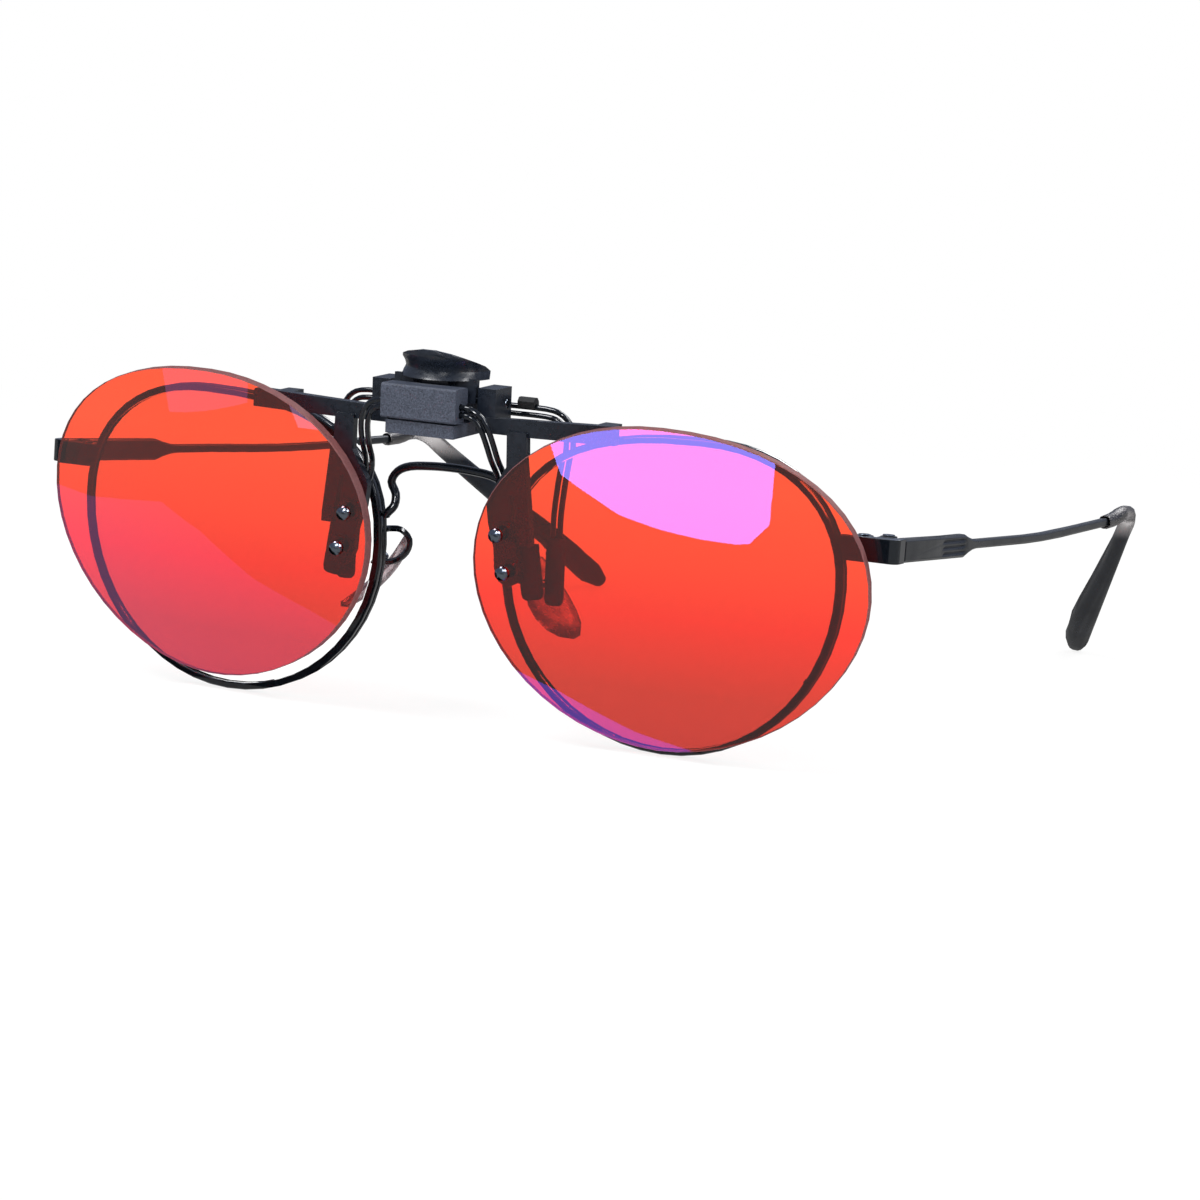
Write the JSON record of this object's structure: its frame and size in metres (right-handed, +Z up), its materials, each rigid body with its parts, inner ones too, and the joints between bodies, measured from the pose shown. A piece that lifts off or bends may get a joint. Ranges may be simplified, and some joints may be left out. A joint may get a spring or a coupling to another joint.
{
  "type": "clip-on eyeglasses",
  "caption": "Round wire-rim spectacles carrying a flip-up clip-on with oval red rimless lenses, a sprung wire clamp and a thumb lever.",
  "frame": {"origin": "centre of the bounding box on the table under the eyewires and temple ends", "axes": "+Z up, -Y the way the lenses face, +Y back along the temples, +X to the viewer's right as seen from the front"},
  "size_m": [0.1264, 0.156, 0.0499],
  "materials": {
    "black_metal": "satin black coating on thin metal",
    "black_steel": "gloss black plated spring steel",
    "block_plastic": "finely grained dark grey plastic",
    "black_plastic": "smooth black plastic",
    "sleeve_plastic": "polished black plastic",
    "steel": "bright dark steel",
    "rubber": "soft black rubber",
    "silicone": "clear soft silicone",
    "clear_lens": "clear polished lens",
    "red_lens": "transparent orange-red lens with a violet reflecting coat"
  },
  "bodies": {
    "front": {"bridge": "black_metal", "left_eyewire": "black_metal", "left_demo_lens": "clear_lens", "left_pad_arm": "black_metal", "left_pad_box": "black_metal", "left_pad_screw": "steel", "left_endpiece": "black_metal", "left_lock_screw": "steel", "left_front_hinge": "black_metal", "left_hinge_screw": "steel", "right_eyewire": "black_metal", "right_demo_lens": "clear_lens", "right_pad_arm": "black_metal", "right_pad_box": "black_metal", "right_pad_screw": "steel", "right_endpiece": "black_metal", "right_lock_screw": "steel", "right_front_hinge": "black_metal", "right_hinge_screw": "steel"},
    "left_temple_arm": {"left_temple": "black_metal", "left_temple_tip": "sleeve_plastic", "left_temple_hinge": "black_metal"},
    "right_temple_arm": {"right_temple": "black_metal", "right_temple_tip": "sleeve_plastic", "right_temple_hinge": "black_metal"},
    "left_pad": {"left_nose_pad": "silicone"},
    "right_pad": {"right_nose_pad": "silicone"},
    "clip": {"hinge_block": "block_plastic", "torsion_spring": "black_steel", "left_front_wire": "black_steel", "left_front_pad": "rubber", "right_front_wire": "black_steel", "right_front_pad": "rubber"},
    "lens_frame": {"axle_pin": "steel", "left_carrier": "black_plastic", "left_tinted_lens": "red_lens", "left_upper_rivet": "steel", "left_lower_rivet": "steel", "right_carrier": "black_plastic", "right_tinted_lens": "red_lens", "right_upper_rivet": "steel", "right_lower_rivet": "steel"},
    "clamp": {"thumb_lever": "black_plastic", "wire_crimp": "black_steel", "left_rear_wire": "black_steel", "left_rear_pad": "rubber", "right_rear_wire": "black_steel", "right_rear_pad": "rubber"}
  },
  "joints": [
    {"name": "left_temple_fold", "type": "hinge", "parent": "front", "child": "left_temple_arm", "pos_m": [-0.0603, -0.06267, 0.03], "axis": [-0.0209, 0, -0.9998], "range_deg": [0, 86]},
    {"name": "right_temple_fold", "type": "hinge", "parent": "front", "child": "right_temple_arm", "pos_m": [0.0603, -0.06267, 0.03], "axis": [-0.0209, 0, 0.9998], "range_deg": [0, 80]},
    {"name": "clip_lift", "type": "slide", "parent": "front", "child": "clip", "axis": [0, -0.0906, 0.9959], "range_m": [0, 0.03]},
    {"name": "lens_flip", "type": "hinge", "parent": "clip", "child": "lens_frame", "pos_m": [0, -0.0702, 0.04359], "axis": [-1, 0, 0], "range_deg": [0, 90]},
    {"name": "clamp_open", "type": "hinge", "parent": "clip", "child": "clamp", "pos_m": [0, -0.0702, 0.04359], "axis": [1, 0, 0], "range_deg": [0, 5], "stiffness_Nm_per_rad": 0.05, "springref_deg": -5.73},
    {"name": "left_nose_pad_rock", "type": "hinge", "parent": "front", "child": "left_pad", "pos_m": [-0.01325, -0.06076, 0.01974], "axis": [0.6046, 0.1881, 0.774], "range_deg": [-6, 6]},
    {"name": "right_nose_pad_rock", "type": "hinge", "parent": "front", "child": "right_pad", "pos_m": [0.01325, -0.06076, 0.01974], "axis": [-0.6046, 0.1881, 0.774], "range_deg": [-6, 6]}
  ]
}
